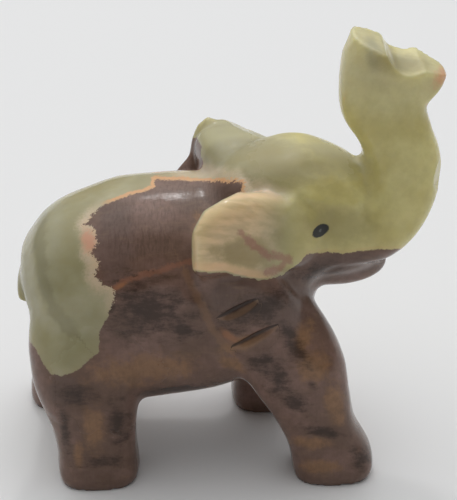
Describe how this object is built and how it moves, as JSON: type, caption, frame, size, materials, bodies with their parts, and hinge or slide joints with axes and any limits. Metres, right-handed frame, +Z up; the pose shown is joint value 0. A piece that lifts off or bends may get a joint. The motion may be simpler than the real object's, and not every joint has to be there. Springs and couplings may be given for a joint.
{
  "type": "carved onyx elephant figurine",
  "caption": "Small walking elephant with raised trunk and swept-back ears, carved from one solid piece of banded onyx, standing on its flat soles.",
  "frame": {"origin": "on the surface that the figurine stands on, under the middle of its box", "axes": "+X is the way the elephant faces, +Y its left side, +Z up"},
  "size_m": [0.0718, 0.0372, 0.0765],
  "materials": {
    "onyx": "polished banded onyx, green and brown, slightly see-through where thin"
  },
  "bodies": {
    "root": {"elephant": "onyx"}
  },
  "joints": []
}
